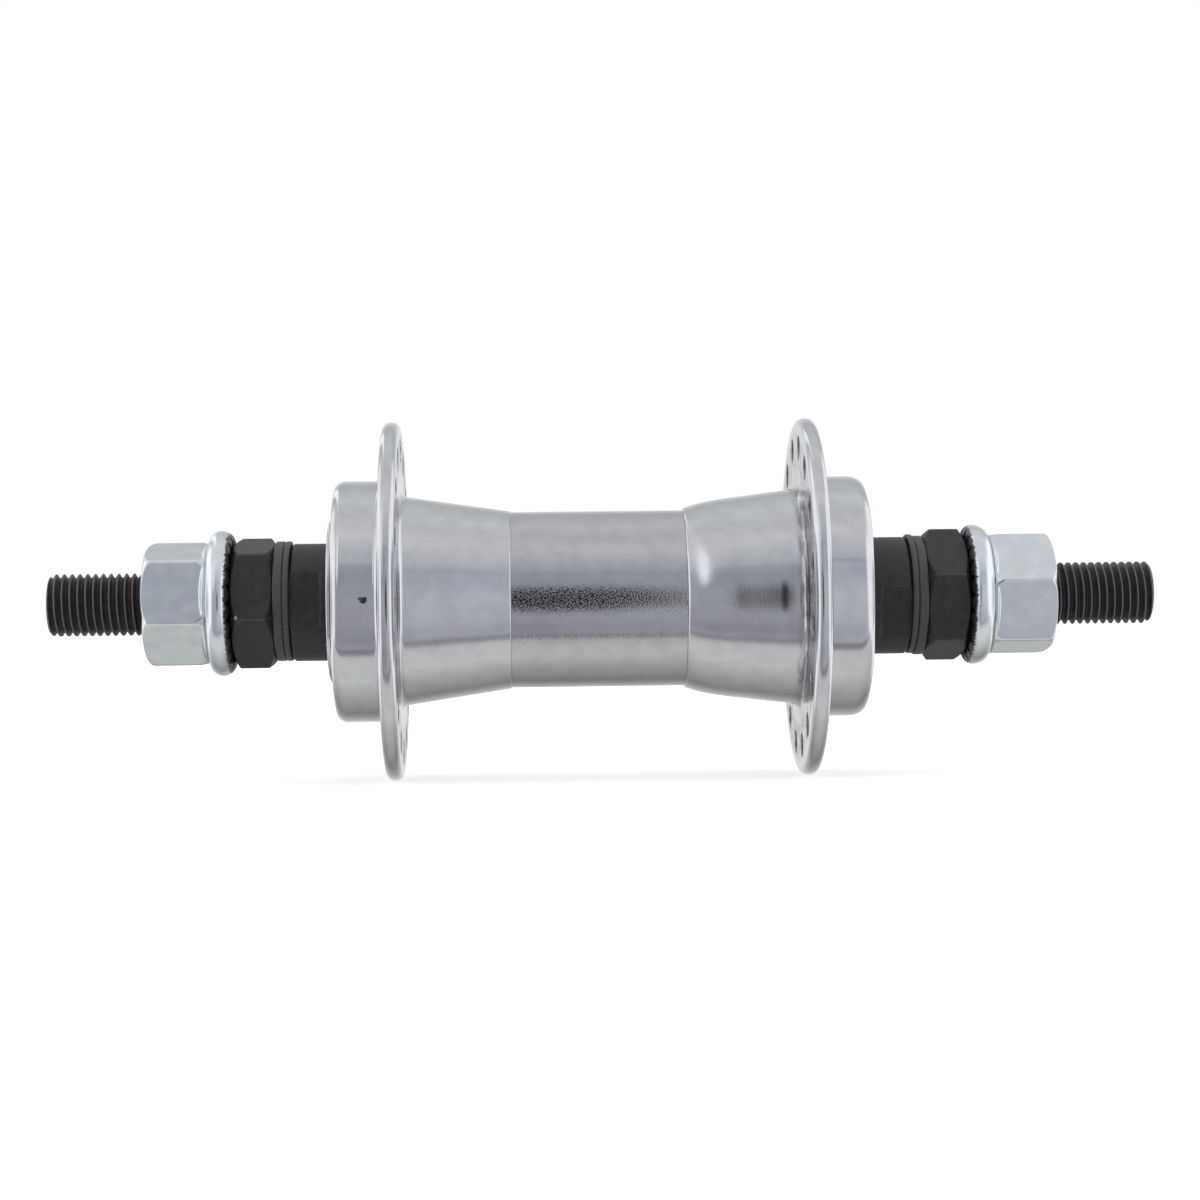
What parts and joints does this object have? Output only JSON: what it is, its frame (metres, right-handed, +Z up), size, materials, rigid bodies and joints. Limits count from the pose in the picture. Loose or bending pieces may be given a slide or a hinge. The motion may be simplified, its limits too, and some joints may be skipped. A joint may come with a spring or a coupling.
{
  "type": "bicycle front hub",
  "caption": "Bicycle front hub: threaded axle in cup-and-cone ball bearings, three-piece metal shell with spoke flanges, and axle nuts with captive serrated washers.",
  "frame": {"origin": "on the axle's centre line, midway between the outer faces of the two locknuts; the axle itself sits 0.3 mm to the right of it, as in the picture", "axes": "+X along the axle to the right in the picture, +Z up, -Y towards the camera"},
  "size_m": [0.139, 0.045, 0.045],
  "materials": {
    "black_axle": "black oxide, slightly oily",
    "black_cone": "black oxide over turned steel",
    "black_washer": "worn black oxide",
    "black_locknut": "black oxide",
    "plated_shell": "polished and plated steel",
    "race_steel": "ground bearing steel",
    "cap_steel": "plated sheet steel",
    "cage_steel": "pressed sheet steel",
    "ball_steel": "polished bearing steel",
    "zinc_washer": "bright zinc plate",
    "zinc_nut": "bright zinc plate"
  },
  "bodies": {
    "axle_set": {"axle": "black_axle", "left_cone": "black_cone", "right_cone": "black_cone", "left_thin_washer": "black_washer", "right_thin_washer": "black_washer", "left_spacer_washer": "black_washer", "right_spacer_washer": "black_washer", "left_locknut": "black_locknut", "right_locknut": "black_locknut"},
    "hub_shell": {"barrel": "plated_shell", "left_shell_end": "plated_shell", "right_shell_end": "plated_shell", "left_bearing_cup": "race_steel", "right_bearing_cup": "race_steel", "left_dust_cap": "cap_steel", "right_dust_cap": "cap_steel"},
    "left_ball_set": {"left_ball_cage": "cage_steel", "left_balls": "ball_steel"},
    "right_ball_set": {"right_ball_cage": "cage_steel", "right_balls": "ball_steel"},
    "left_washer": {"left_serrated_washer": "zinc_washer"},
    "right_washer": {"right_serrated_washer": "zinc_washer"},
    "left_nut": {"left_axle_nut": "zinc_nut"},
    "right_nut": {"right_axle_nut": "zinc_nut"}
  },
  "joints": [
    {"name": "hub_spin", "type": "hinge", "parent": "axle_set", "child": "hub_shell", "pos_m": [0, 0, 0], "axis": [1, 0, 0], "continuous": true},
    {"name": "left_ball_roll", "type": "hinge", "parent": "axle_set", "child": "left_ball_set", "pos_m": [-0.0285, 0, 0], "axis": [1, 0, 0], "continuous": true},
    {"name": "right_ball_roll", "type": "hinge", "parent": "axle_set", "child": "right_ball_set", "pos_m": [0.0285, 0, 0], "axis": [1, 0, 0], "continuous": true},
    {"name": "left_nut_travel", "type": "slide", "parent": "axle_set", "child": "left_washer", "axis": [-1, 0, 0], "range_m": [0, 0.012]},
    {"name": "right_nut_travel", "type": "slide", "parent": "axle_set", "child": "right_washer", "axis": [1, 0, 0], "range_m": [0, 0.012]},
    {"name": "left_nut_spin", "type": "hinge", "parent": "left_washer", "child": "left_nut", "pos_m": [-0.053, 0, 0], "axis": [-1, 0, 0], "range_deg": [0, 4420]},
    {"name": "right_nut_spin", "type": "hinge", "parent": "right_washer", "child": "right_nut", "pos_m": [0.053, 0, 0], "axis": [1, 0, 0], "range_deg": [0, 4420]}
  ],
  "couplings": [
    {"joint": "left_ball_roll", "follows": "hub_spin", "ratio": 0.5967},
    {"joint": "right_ball_roll", "follows": "hub_spin", "ratio": 0.5967},
    {"joint": "left_nut_travel", "follows": "left_nut_spin", "m_per_rad": 0.00015549},
    {"joint": "right_nut_travel", "follows": "right_nut_spin", "m_per_rad": 0.00015549}
  ]
}
